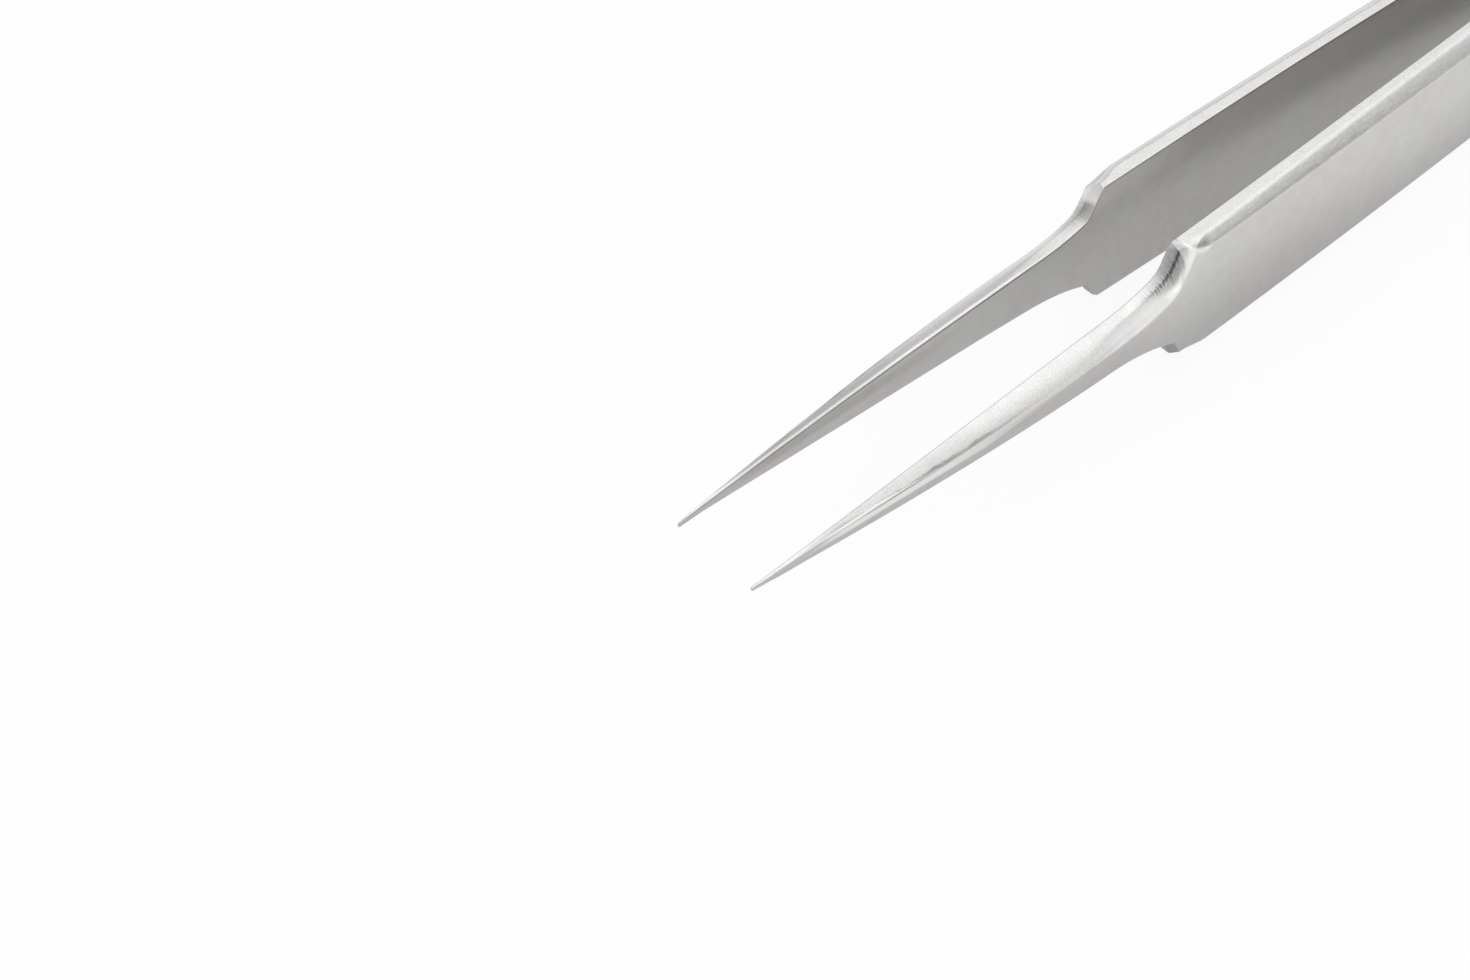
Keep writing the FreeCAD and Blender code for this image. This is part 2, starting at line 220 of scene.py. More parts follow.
class SteelLook(bpy.types.PropertyGroup):
    """Colours and finish of the steel."""

    satin: colour("Satin steel", (0.70, 0.69, 0.682), "Colour of the satin faces")
    # Painted shade: multiplies the blades' flat faces darker.
    blade: colour("Blade faces", (0.89, 0.89, 0.89), "What the blades' flat faces are multiplied by")
    # Painted shade: the right blade's edges darker.
    right_edge_shade: colour("Right blade edges", (0.805, 0.795, 0.79), "Colour of the right blade's edges")
    bevel: colour("Bevels", (0.52, 0.52, 0.51), "Colour of the bevels' lower side")
    ground: colour("Ground steel", (0.86, 0.86, 0.85), "Colour of the ground edges and blades")
    # Painted highlight: the bright band along the rim round the shoulder.
    rim_highlight: colour("Rim highlight", (0.92, 0.92, 0.915), "Colour of the rim around the shoulder")
    # Painted highlight: the strip under the crease along the blade.
    bright: colour("Strip highlight", (0.82, 0.82, 0.81), "Colour of the strip under the crease")
    # Painted highlight on the inner faces near the shoulder's upper edge.
    inner_highlight: colour("Sheen", (0.95, 0.94, 0.93), "Colour of the inner faces near the shoulder")
    warm: colour("Warm cast", (1.0, 0.966, 0.968), "Warm cast of the steel")
    cool: colour("Cool cast", (0.978, 1.0, 0.984), "Cool cast of the steel")
    # Dark steel: the burr and grit, and also the colour that painted shade darkens towards.
    dark: colour("Dark steel", (0.06, 0.06, 0.06), "Burr and grit in the scallop")
    satin_roughness: number("Satin roughness", 0.3, "Roughness of the satin faces")
    inner_roughness: number("Inner roughness", 0.2, "Roughness of the inner faces")
    ground_roughness: number("Ground roughness", 0.3, "Roughness of the ground faces")
    scallop_roughness: number("Scallop roughness", 0.5, "Roughness of the scallop")
    rim_roughness: number("Rim roughness", 0.42, "Roughness of the rim around the shoulder")


class StageLook(bpy.types.PropertyGroup):
    """Floor and lights of the stage."""

    floor: colour("Floor", (0.93, 0.93, 0.93), "Colour of the floor")
    shine: number("Shine", 0.9, "Share of white that the camera sees in the floor")
    glint: number("Glint", 0.3, "Share of white that the steel sees in the floor")
    sky: number("Sky", 1.2, "Strength of the light from above")
    horizon: number("Horizon", 0.6, "Strength of the light from the side")
    wall: number("Wall", 0.85, "Strength of the light just over the floor")
    key: number("Key", 0.1, "Power of the large lamp overhead, in watts")
    front: number("Front", 0.45, "Power of the low lamp in front of the left arm, in watts")


def arc(radius, offset):
    """Height of a circle over its centre, at an offset from the centre."""
    return np.sqrt(np.maximum(radius**2 - offset**2, 0))


def soft_max(first, second, width):
    """The larger of two distances, rounded off by a parabola where they differ by less than width."""
    shared = np.maximum(width - np.abs(first - second), 0)
    return np.maximum(first, second) + shared**2 / (4 * width)


def soft_min(first, second, width):
    """The smaller of two heights, rounded off in the same way."""
    return -soft_max(-first, -second, width)


def ramp(x, start, stop):
    """A smooth step from 0 at start to 1 at stop."""
    share = np.clip((x - start) / (stop - start), 0, 1)
    return share * share * (3 - 2 * share)


def past(x, place, start, stop):
    """A smooth step from 0 to 1 that starts and stops so many millimetres past a place."""
    return ramp(x, place + start * MM, place + stop * MM)


def lay_out(s, scooped, upper):
    """Places that follow from an arm's sizes, for its upper or its lower half.

    The upper edge is slanted by hand grinding. The lower edge is plain, with a tighter neck.
    """
    p = SimpleNamespace(sizes=s, scooped=scooped, rounded=scooped and upper)
    p.finish = LEFT_FINISH if scooped else RIGHT_FINISH
    p.skew = (s.left_skew if scooped else s.right_skew) * upper
    p.bevel_lean = (s.left_lean if scooped else s.right_lean) * upper
    p.flare = s.flare * upper
    if not upper:
        shoulder = s.lower_neck, s.lower_landing, s.lower_drop, s.lower_scallop
    elif scooped:
        shoulder = s.left_neck, s.left_landing, s.left_drop, s.scallop_angle
    else:
        shoulder = s.right_neck, s.right_landing, s.right_drop, s.scallop_angle
    p.neck_radius, landing_length, landing_drop, scallop_angle = shoulder
    p.point_x, p.tail_x = HIGH.x, LOW.x
    p.grip_z = (HIGH.z - LOW.z) / 2
    p.weld_x = p.tail_x + s.weld_length
    p.bow_x = p.point_x - s.bow_setback
    p.centres = ((p.bow_x - p.weld_x) ** 2 + (s.gap / 2) ** 2) / s.gap
    p.inner_bow = p.centres - s.bend_radius
    p.outer_bow = p.inner_bow + s.strip_thickness
    p.bow_y = s.gap / 2 - p.inner_bow

    p.point_y = p.bow_y + arc(p.inner_bow, s.bow_setback) + s.point_thickness
    p.heel_x = p.point_x - s.heel_setback
    heel_y = p.bow_y + arc(p.outer_bow, p.heel_x - p.bow_x)
    heel_part = (p.outer_bow - s.heel_radius) / p.outer_bow
    p.heel_centre_x = p.bow_x + (p.heel_x - p.bow_x) * heel_part
    p.heel_centre_y = p.bow_y + (heel_y - p.bow_y) * heel_part
    in_x = p.heel_centre_x - p.point_x
    in_y = p.heel_centre_y - p.point_y
    reach = np.hypot(in_x, in_y)
    run = arc(reach, s.heel_radius)
    p.ground_x = p.point_x + run * (in_x * run + in_y * s.heel_radius) / reach**2
    ground_y = p.point_y + run * (in_y * run - in_x * s.heel_radius) / reach**2
    p.ground_slope = (ground_y - p.point_y) / (p.ground_x - p.point_x)

    root_z = s.root_width / 2
    p.shoulder_x = p.point_x - s.blade_length - (0 if scooped else s.right_setback)
    p.shoulder_z = s.shoulder_width / 2
    p.landing_slope = landing_drop / landing_length
    p.landing_x = p.shoulder_x + landing_length
    p.landing_z = p.shoulder_z - landing_drop
    p.rise = np.tan(s.shoulder_angle)
    p.neck_z = root_z + s.scallop_radius * (np.cos(s.root_angle) - np.cos(scallop_angle))
    foot_z = p.neck_z + p.neck_radius * (np.cos(scallop_angle) - np.cos(s.shoulder_angle))
    p.foot_x = p.landing_x + (p.landing_z - foot_z) / p.rise
    p.neck_x = p.foot_x + p.neck_radius * (np.sin(s.shoulder_angle) - np.sin(scallop_angle))
    p.root_x = p.neck_x + s.scallop_radius * (np.sin(scallop_angle) - np.sin(s.root_angle))
    p.scallop_centre = (
        p.root_x + s.scallop_radius * np.sin(s.root_angle),
        root_z + s.scallop_radius * np.cos(s.root_angle),
    )
    p.neck_centre = (
        p.neck_x + p.neck_radius * np.sin(scallop_angle),
        p.neck_z + p.neck_radius * np.cos(scallop_angle),
    )
    point_z = s.point_width / 2
    p.nose_centre = p.point_x - s.point_radius
    p.nose_x = p.nose_centre + arc(s.point_radius, point_z)
    chord_x, chord_z = p.root_x - p.nose_x, root_z - point_z
    chord = np.hypot(chord_x, chord_z)
    height = arc(s.taper_radius, chord / 2) / chord
    p.taper_centre = (
        (p.nose_x + p.root_x) / 2 - chord_z * height,
        (point_z + root_z) / 2 + chord_x * height,
    )

    p.full_x = p.point_x - s.full_width_from
    p.taper_x = p.point_x - s.full_width_to
    p.front_slope = (p.grip_z - p.shoulder_z) / (p.full_x - p.shoulder_x)
    p.tail_slope = (p.grip_z - s.tail_width / 2) / (p.taper_x - p.tail_x)
    p.ridge_y = s.gap / 2 + (s.left_flat if scooped else s.right_flat)
    p.bevel_slope = s.bevel_width / s.bevel_height
    p.bevel_depth = s.strip_thickness - s.bevel_inset
    p.scoop_x = p.shoulder_x - s.bevel_setback + s.scoop_shift
    return p


def bowed(p, x, depth):
    """y of the surface that lies depth outside the inner face: flat at the weld, a bend, the long bow."""
    s = p.sizes
    bow_radius = p.inner_bow + depth
    bend_end = p.bow_x + (p.weld_x - p.bow_x) * bow_radius / p.centres
    bow = p.bow_y + arc(bow_radius, x - p.bow_x)
    bend = s.bend_radius - arc(s.bend_radius - depth, x - p.weld_x)
    return np.where(x > bend_end, bow, np.where(x > p.weld_x, bend, depth))


def outer_face(p, x):
    """y of the outer face: the strip, a heel, and the flat ground down to the point."""
    s = p.sizes
    strip = bowed(p, x, s.strip_thickness)
    heel = p.heel_centre_y + arc(s.heel_radius, x - p.heel_centre_x)
    flat = p.point_y + (x - p.point_x) * p.ground_slope
    return np.where(x > p.ground_x, flat, np.where(x > p.heel_x, heel, strip))


def blade_edge(p, x):
    """Half width of the blade: nose, long taper, scallop, neck, and the shoulder's slope carried on."""
    s = p.sizes
    nose = arc(s.point_radius, x - p.nose_centre)
    taper = p.taper_centre[1] + arc(s.taper_radius, x - p.taper_centre[0])
    scallop = p.scallop_centre[1] - arc(s.scallop_radius, x - p.scallop_centre[0])
    neck = p.neck_centre[1] - arc(p.neck_radius, x - p.neck_centre[0])
    shoulder = p.landing_z + (p.landing_x - x) * p.rise
    return np.select(
        [x > p.nose_x, x > p.root_x, x > p.neck_x, x > p.foot_x], [nose, taper, scallop, neck], shoulder
    )


def grip_line(p, x):
    """Half width of the grip, without its corners: a slight taper, the full width, the tail's taper."""
    s = p.sizes
    front = p.shoulder_z + (x - p.shoulder_x) * p.front_slope
    tail = p.grip_z - (p.taper_x - x) * p.tail_slope
    blend = s.tail_blend * p.tail_slope
    return np.minimum(soft_min(p.grip_z + 0 * x, tail, blend), soft_min(front, p.grip_z + 0 * x, GRIP_BLEND))


def edge_line(p, x):
    """Half width of the arm: the grip, the small facet on the shoulder and the blade."""
    s = p.sizes
    landing = p.landing_z - (x - p.landing_x) * p.landing_slope
    grip = soft_min(grip_line(p, x), landing, s.landing_break)
    shoulder = soft_min(grip, blade_edge(p, x), s.edge_break / 2)
    whole = np.where(x > p.foot_x, blade_edge(p, x), shoulder)
    corner = np.maximum(p.tail_x + s.tail_corner - x, 0)
    return whole - (s.tail_corner - arc(s.tail_corner, corner))


def slope_of(curve, p, x, *more):
    """Slope of an outline, from its heights a small step to either side."""
    return (curve(p, x + SLOPE_STEP, *more) - curve(p, x - SLOPE_STEP, *more)) / (2 * SLOPE_STEP)


def edge_lean(p, x):
    """How far the edge falls outwards: not at all in the grip, and more from the shoulder to the blade."""
    return p.sizes.blade_lean * ramp(x, p.foot_x, p.root_x)


def slant(p, x):
    """How far the edge's outline moves with depth: the wheel's skew at the shoulder, none along the blade."""
    return p.skew * (1 - ramp(x, p.neck_x, p.root_x + SKEW_END))


def edge_height(p, x, y):
    """Height of the edge: the outline, slanted by the wheel's skew, and falling outwards along the blade."""
    depth = y - p.ridge_y
    return edge_line(p, x + slant(p, x) * depth) - edge_lean(p, x) * depth


def bevel_edge(p, x, depth):
    """Half width that the blade's bevel follows: its edge, averaged over a run that widens outwards."""
    spread = p.flare * np.maximum(depth, 0)
    return (blade_edge(p, x - spread) + blade_edge(p, x + spread)) / 2


def blade_bevel(p, x, y):
    """Height of the blade's bevel: its edge, moved out from the ridge as it falls and leans."""
    depth = y - p.ridge_y
    return bevel_edge(p, x + p.bevel_lean * depth, depth) - p.sizes.blade_bevel_drop * depth


def grip_bevel(p, x, y):
    """Height of the grip's bevel: a plane along the bow, which starts in a scoop or runs out deeper."""
    s = p.sizes
    base_z = np.where(x > p.taper_x, p.grip_z, grip_line(p, x)) - s.bevel_height
    path = bowed(p, x, p.bevel_depth)
    if p.rounded:
        swept = np.clip(x - p.scoop_x, 0, s.wheel_radius * np.sin(s.wheel_sweep))
        straight = np.maximum(x - p.scoop_x - swept, 0)
        lift = s.wheel_radius - arc(s.wheel_radius, swept) + straight * np.tan(s.wheel_sweep)
        path = path + lift
    else:
        path = path - s.runout_dip * ramp(x, p.shoulder_x - s.runout_length, p.shoulder_x + RUNOUT_END)
    return base_z - (y - path) / p.bevel_slope


def end_inset(x, end, radius):
    """How far a section is drawn in near an end that is rounded by a radius."""
    return radius - arc(radius, np.maximum(radius - np.abs(x - end), 0))


def outside(p, x, y, z):
    """How far a point lies outside the arm: the soft maximum of its distances to all the faces.

    Near the point, no rounding is larger than the section itself.
    """
    s = p.sizes
    height = np.abs(z)
    depth = y - p.ridge_y
    slope = slope_of(edge_line, p, x + slant(p, x) * depth)
    across = edge_lean(p, x) - slant(p, x) * slope
    edge = (height - edge_height(p, x, y)) / np.sqrt(1 + slope**2 + across**2)
    slope = slope_of(bevel_edge, p, x + p.bevel_lean * depth, depth)
    across = s.blade_bevel_drop - p.bevel_lean * slope
    bevel = (height - blade_bevel(p, x, y)) / np.sqrt(1 + slope**2 + across**2)
    grip = (height - grip_bevel(p, x, y)) / np.hypot(1, 1 / p.bevel_slope)

    near_shoulder = ramp(x, p.scoop_x, p.shoulder_x - 0.4 * MM)
    at_corner = past(x, p.shoulder_x, -1.6, -0.6)
    at_corner = at_corner * (1 - ramp(x, p.landing_x, p.foot_x)) * p.rounded
    along_blade = past(x, p.root_x, -1.5, 4)
    fine = (p.point_x - x) / 8 + 0.01 * MM
    ridge_width = np.minimum(s.ridge_break + (s.blade_break - s.ridge_break) * along_blade, fine)
    scallop_rim = s.rim_break if p.rounded else s.grip_break
    rim_width = scallop_rim + (s.line_break - scallop_rim) * along_blade
    rim_width = s.grip_break + (rim_width - s.grip_break) * near_shoulder
    rim_width = rim_width + (s.corner_break - rim_width) * at_corner
    corner_width = s.grip_break + (s.corner_break / 2 - s.grip_break) * at_corner

    top = soft_max(edge, bevel, ridge_width)
    top = soft_max(top, grip, corner_width)
    nose = end_inset(x, p.point_x, s.nose_break)
    body = soft_max(top, y - outer_face(p, x) + nose, rim_width)
    blade_break = s.edge_break if p.scooped else s.right_edge_break
    inner_width = np.minimum(s.edge_break + (blade_break - s.edge_break) * along_blade, fine)
    body = soft_max(body, bowed(p, x, 0) - y + nose, inner_width)
    return body + end_inset(x, p.tail_x, s.end_break)


def crowded(count, power):
    """Shares from 0 up to 1 that crowd towards both ends."""
    share = np.linspace(0, 1, count, endpoint=False)
    low = (2 * share) ** power / 2
    high = 1 - (2 * (1 - share)) ** power / 2
    return np.where(share < 0.5, low, high)


def stations(p):
    """x of the cross sections, in runs with a stop and a count, closer together where the outline turns."""
    s = p.sizes
    runs = [
        (p.tail_x + s.end_break, 8),
        (p.tail_x + s.tail_corner, 14),
        (p.taper_x + s.tail_blend, 46),
        (p.scoop_x - 0.5 * MM, 50),
        (p.shoulder_x - 0.6 * MM, 60),
        (p.neck_x + 0.3 * MM, 140),
        (p.root_x + 1 * MM, 80),
        (p.point_x - 2 * MM, 110),
        (p.point_x - s.point_radius, 30),
    ]
    start, pieces = p.tail_x, []
    for stop, count in runs:
        pieces.append(np.linspace(start, stop, count, endpoint=False))
        start = stop
    turn = np.linspace(0, np.pi / 2, 10, endpoint=False)
    pieces.append(p.point_x - s.point_radius * (1 - np.sin(turn)))
    return np.concatenate(pieces)


def sharp_height(p, x, y):
    """Height of the sharp section: the lowest of the edge and both bevels."""
    return np.minimum(edge_height(p, x, y), np.minimum(blade_bevel(p, x, y), grip_bevel(p, x, y)))


def ridge_line(p, x, inner_y, outer_y):
    """y where the edge meets a bevel, found between the samples on either side of the change."""
    probe_y = inner_y + (outer_y - inner_y) * np.linspace(0, 1, PROBES)
    spare = np.minimum(blade_bevel(p, x, probe_y), grip_bevel(p, x, probe_y)) - edge_height(p, x, probe_y)
    cut = spare < 0
    cut[:, 0] = False
    cut[:, -1] = True
    change = cut.argmax(1)[:, None]
    before = np.maximum(np.take_along_axis(spare, change - 1, 1), 0)
    after = np.minimum(np.take_along_axis(spare, change, 1), 0)
    share = np.where(after < 0, before / np.maximum(before - after, TINY), 1)
    return np.take_along_axis(probe_y, change - 1, 1) + share * (probe_y[:, 1:2] - probe_y[:, :1])


def half_section(p, x, inner_y, outer_y):
    """One half of each sharp section, and where its ridge and its rim are.

    It goes from the middle of the inner face along the edge and the bevel to the rim, and down the outer
    face. Points are crowded towards the corners.
    """
    ridge_y = ridge_line(p, x, inner_y, outer_y)
    margin = (outer_y - inner_y) / 8
    turn_y = np.clip(ridge_y, inner_y + margin, outer_y - margin)
    inner_z = edge_height(p, x, inner_y)
    turn_z, rim_z = sharp_height(p, x, turn_y), sharp_height(p, x, outer_y)
    side = crowded(SIDE_POINTS, CORNER_CROWDING)
    share = np.linspace(0, 1, SIDE_POINTS, endpoint=False)
    half, leaving = 1 - (1 - share) ** RIM_CROWDING, 1 - share**RIM_CROWDING
    rings_y = (inner_y + 0 * half, inner_y + (turn_y - inner_y) * side, turn_y + (outer_y - turn_y) * side)
    rings_z = (inner_z * half, inner_z + (turn_z - inner_z) * side, turn_z + (rim_z - turn_z) * side)
    y = np.concatenate([*rings_y, outer_y + 0 * leaving], 1)
    z = np.concatenate([*rings_z, rim_z * leaving], 1)
    return y, z, ridge_y, rim_z


def beyond(halves, x, y, z):
    """How far a point lies outside the arm whose two halves are laid out apart."""
    return np.where(z >= 0, outside(halves[0], x, y, z), outside(halves[1], x, y, z))


def arm_surface(p, halves):
    """Rings of points round the arm, one for each station, with the places of the ridge and the rim.

    Each point of the sharp section is moved along its line from the middle of the section, until the soft
    maximum of the distances to the faces is zero there, which rounds all the edges.
    """
    x = stations(p)[:, None]
    inner_y, outer_y = bowed(p, x, 0), outer_face(p, x)
    middle_y = (inner_y + outer_y) / 2
    first_y, first_z, *first_marks = half_section(halves[0], x, inner_y, outer_y)
    second_y, second_z, *second_marks = half_section(halves[1], x, inner_y, outer_y)
    y = np.concatenate([first_y, outer_y, second_y[:, :0:-1]], 1)
    z = np.concatenate([first_z, 0 * outer_y, -second_z[:, :0:-1]], 1)

    near, far = np.zeros_like(z), np.full_like(z, REACH)
    for _ in range(HALVINGS):
        middle = (near + far) / 2
        out = beyond(halves, x, middle_y + (y - middle_y) * middle, z * middle) > 0
        far = np.where(out, middle, far)
        near = np.where(out, near, middle)
    y = middle_y + (y - middle_y) * near
    z = z * near
    ridge_y, rim_z = (np.where(z >= 0, *pair) for pair in zip(first_marks, second_marks))
    return np.broadcast_to(x, y.shape), y, z, ridge_y, rim_z


def outward(halves, x, y, z):
    """Normals of the arm's surface: how the distance outside it grows along each axis, scaled to length 1."""
    step = NORMAL_STEP * np.eye(3)
    grown = [
        beyond(halves, x + dx, y + dy, z + dz) - beyond(halves, x - dx, y - dy, z - dz) for dx, dy, dz in step
    ]
    normals = np.stack(grown, -1)
    return normals / np.linalg.norm(normals, axis=-1, keepdims=True)


def survey(p, halves, turned):
    """Points of an arm's surface, their distances from the ridge and the faces, and their shares in faces."""
    x, y, z, ridge_y, rim_z = arm_surface(p, halves)
    at = SimpleNamespace(x=x, y=y, z=z, rim_z=rim_z, height=np.abs(z), upright=-z if turned else z)
    at.ridge = y - ridge_y
    at.depth = np.maximum(at.ridge, 0)
    at.inset = y - bowed(p, x, 0)
    at.outer_y = outer_face(p, x)
    at.upper = past(at.upright, 0, -0.1, 0.1)
    at.inner = 1 - past(at.inset, 0, 0.02, 0.08)
    at.top = past(at.height, rim_z, -0.1, 0.02) * (1 - at.inner)
    at.bevel = past(at.ridge, 0, -0.04, 0.04) * at.top * (1 - ramp(x, p.shoulder_x, p.landing_x))
    if p.scooped:
        at.bevel = at.bevel * (1 - at.upper * past(x, p.scoop_x, 1.2, 1.6))
    return at


def bright_band(p, at):
    """Share of the painted highlight band: 0.38 mm wide along the rim, wider in the neck, and deep at the
    corner.
    """
    wide = 0.38 + 0.1 * (1 - past(at.x, p.landing_x, -0.5, 0))
    wide = (wide + 0.5 * ramp(at.x, p.foot_x, p.neck_x + 1.6 * MM)) * MM
    across = ramp(at.y, at.outer_y - wide - 0.1 * MM, at.outer_y - wide / 3)
    at_corner = past(at.x, p.scoop_x, 0.2, 1) * (1 - ramp(at.x, p.landing_x, p.foot_x))
    low = at.rim_z - (0.25 + 0.3 * at_corner) * MM
    down = ramp(at.height, low, low + 0.2 * (1 + at_corner) * MM)
    along = past(at.x, p.scoop_x, -0.2, 0.8) * (1 - past(at.x, p.root_x, -1, 3))
    return along * across * down * p.scooped


def shoulder_marks(p, at):
    """Marks at the shoulder: the scoop and the scallop's grit from grinding, the facet and neck darkened
    partly for grit and partly as painted shade, the lower shoulder's painted shade, and the painted highlight
    band.
    """
    x, finish = at.x, p.finish
    scoop = past(x, p.scoop_x, -0.1, 0.8) * at.bevel * at.upper
    band = bright_band(p, at) * (1 - scoop)
    start_x = p.landing_x + finish.grit * MM
    scallop = ramp(x + GRIT_LEAN * at.depth, start_x, start_x + finish.grit_soft * MM + at.depth / 2)
    grit = scallop * (1 - ramp(x, p.foot_x + GRIT_END[0] * MM, p.neck_x + GRIT_END[1] * MM))
    facet = (past(x, p.shoulder_x, -0.05, 0.05) - scallop) * (1 - past(at.depth, 0, 0.1, 0.3))
    neck = scallop * (1 - ramp(x, p.foot_x + NECK_START * MM, p.neck_x + finish.neck_end * MM))
    if not p.scooped:
        neck = neck * (1 - past(at.depth, 0, 0, 0.1))
    # Facet and neck darkened: partly grit, partly painted shade.
    tint = finish.facet * facet + finish.neck * neck * (1 - band)
    # Painted shade on the lower shoulder, which faces the floor.
    lower = past(x, p.shoulder_x, -0.2, 0.2)
    lower = LOWER_SHADE * lower * (1 - ramp(x, p.foot_x, p.neck_x + LOWER_NECK_END * MM))
    return {
        "scallop": grit * at.top * (1 - band) * at.upper,
        "facet": tint * at.top * at.upper + lower * at.top * (1 - at.upper),
        "band": band * at.upper,
        "scoop": scoop * p.scooped,
        "burr": finish.burr,
    }


def blade_marks(p, at):
    """Marks along the blade: painted shade on its flat faces and on the right arm's edges, and the crease
    with its painted shade and painted highlight.
    """
    x = at.x
    rim = np.where(
        at.height > at.rim_z,
        -np.hypot(at.y - at.outer_y, at.height - at.rim_z),
        at.rim_z - at.height + OFF_RIM * (at.outer_y - at.y),
    )
    spread = np.maximum(p.point_x - x - CREASE_FROM * MM, 0) * CREASE_RISE
    narrower = 1 - CREASE_NARROWER * past(x, p.point_x, -22, -14)
    line = past(x, p.point_x, -25, -13) * (1 - past(x, p.point_x, -7, -3))
    # Painted shade on the right blade's edges.
    right_edge_shade = ramp(x, p.foot_x, p.root_x + ROOT_END) * past(at.inset, 0, 0.16, 0.26)
    return {
        # Painted shade on the blades' flat faces.
        "blade": ramp(x, p.landing_x, p.root_x + ROOT_END) * (1 - at.top),
        "right_edge_shade": right_edge_shade * at.top * (not p.scooped),
        # Distance from the crease, for its painted shade line and painted highlight strip.
        "crease": (rim + spread) / MM * narrower,
        "line": line * at.upper,
    }


def arm_marks(p, at):
    """The marks that the material reads: shares from 0 to 1, and distances in millimetres."""
    station = at.x[:, 0]
    steps = np.hypot(np.diff(station), np.diff(edge_line(p, station)))
    run = np.concatenate([[0], np.cumsum(steps)])
    back = 1 - past(at.x, p.shoulder_x, -22, -8)
    low, high = (share * p.grip_z for share in INNER_HIGHLIGHT_HEIGHTS)
    # Painted highlight on the inner faces, high up near the shoulder.
    inner_highlight = ramp(at.upright, low, high) * past(at.x, p.shoulder_x, -9, -2)
    return {
        "run": run[:, None] / MM,
        "ridge": at.ridge / MM,
        "inner": at.inner,
        "top": at.top,
        "bevel": at.bevel * (1 - BACK_FADE * back),
        # Drives the painted shade towards the lower edges, lessened at the back.
        "height": 0.5 + 0.5 * at.upright / p.grip_z + BACK_LIFT * back * (1 - at.inner),
        "inner_highlight": at.inner * inner_highlight,
        **shoulder_marks(p, at),
        **blade_marks(p, at),
    }


def arm_faces(rings, around):
    """Quads between the rings, and a fan at the tail and at the point."""
    ring = np.arange(around)
    after = (ring + 1) % around
    base = np.arange(rings - 1)[:, None] * around
    quads = np.stack([base + ring, base + around + ring, base + around + after, base + after], -1)
    first = np.full(around, rings * around)
    last_ring = (rings - 1) * around
    tail_fan = np.stack([ring, after, first], -1)
    point_fan = np.stack([last_ring + after, last_ring + ring, first + 1], -1)
    return quads.reshape(-1, 4).tolist() + tail_fan.tolist() + point_fan.tolist()


def arm_mesh(name, sizes, scooped, turned):
    """A closed mesh of an arm, with its marks and the normals of its surface.

    It is worked out with the gap on the side of low y. The right arm is then turned over about X, which
    swaps its two halves.
    """
    p = lay_out(sizes, scooped, upper=True)
    lower = lay_out(sizes, scooped, upper=False)
    halves = (lower, p) if turned else (p, lower)
    at = survey(p, halves, turned)
    ends = np.array([[p.tail_x, at.y[0].mean(), 0], [p.point_x, at.y[-1].mean(), 0]])
    points = np.concatenate([np.stack([at.x, at.y, at.z], -1).reshape(-1, 3), ends])
    normals = outward(halves, np.maximum(at.x, p.tail_x + SLOPE_STEP), at.y, at.z).reshape(-1, 3)
    normals = np.concatenate([normals, [[-1, 0, 0], [1, 0, 0]]])
    if turned:
        points = points * (1, -1, -1)
        normals = normals * (1, -1, -1)
    points[:, 2] += (LOW.z + HIGH.z) / 2

    mesh = bpy.data.meshes.new(name)
    mesh.from_pydata(points.tolist(), [], arm_faces(*at.x.shape))
    for label, values in arm_marks(p, at).items():
        values = np.broadcast_to(values, at.x.shape)
        flat = np.concatenate([values.reshape(-1), values[0, :1], values[-1, :1]])
        mesh.attributes.new(label, "FLOAT", "POINT").data.foreach_set("value", flat.astype(np.float32))
    mesh.shade_smooth()
    mesh.normals_split_custom_set_from_vertices(normals)
    mesh.update()
    return mesh


def node(tree, kind, **values):
    """A new node, with its inputs by name and its own settings by attribute."""
    made = tree.nodes.new(kind)
    for name, value in values.items():
        if name in made.inputs:
            made.inputs[name].default_value = value
        else:
            setattr(made, name, value)
    return made


def join(tree, source, target):
    """Link one socket to another."""
    tree.links.new(source, target)


def times(tree, first, second):
    """The product of two sockets, or of a socket and a number."""
    return maths(tree, "MULTIPLY", first, second)


def maths(tree, operation, first, second=None, third=None, clamp=False):
    """A Math node whose inputs are sockets or plain numbers."""
    made = node(tree, "ShaderNodeMath", operation=operation, use_clamp=clamp)
    for slot, source in enumerate((first, second, third)):
        if source is None:
            continue
        if isinstance(source, (int, float)):
            made.inputs[slot].default_value = source
        else:
            join(tree, source, made.inputs[slot])
    return made.outputs[0]


def blend(tree, factor, first, second, kind="RGBA", mode="MIX"):
    """A Mix node between two colours or two numbers, given as sockets or values."""
    made = node(tree, "ShaderNodeMix", data_type=kind, blend_type=mode)
    slots = {"RGBA": (6, 7, 2), "FLOAT": (2, 3, 0)}[kind]
    for slot, source in ((0, factor), (slots[0], first), (slots[1], second)):
        if isinstance(source, bpy.types.NodeSocket):
            join(tree, source, made.inputs[slot])
        else:
            made.inputs[slot].default_value = source
    return made.outputs[slots[2]]


def remap(tree, source, start, stop, low=0.0, high=1.0):
    """A value that goes smoothly from low to high as its source goes from start to stop."""
    made = node(tree, "ShaderNodeMapRange", interpolation_type="SMOOTHSTEP")
    made.inputs["From Min"].default_value = start
    made.inputs["From Max"].default_value = stop
    made.inputs["To Min"].default_value = low
    made.inputs["To Max"].default_value = high
    join(tree, source, made.inputs["Value"])
    return made.outputs["Result"]


def mark(tree, name):
    """One of the arm's own marks."""
    return node(tree, "ShaderNodeAttribute", attribute_name=name).outputs["Fac"]


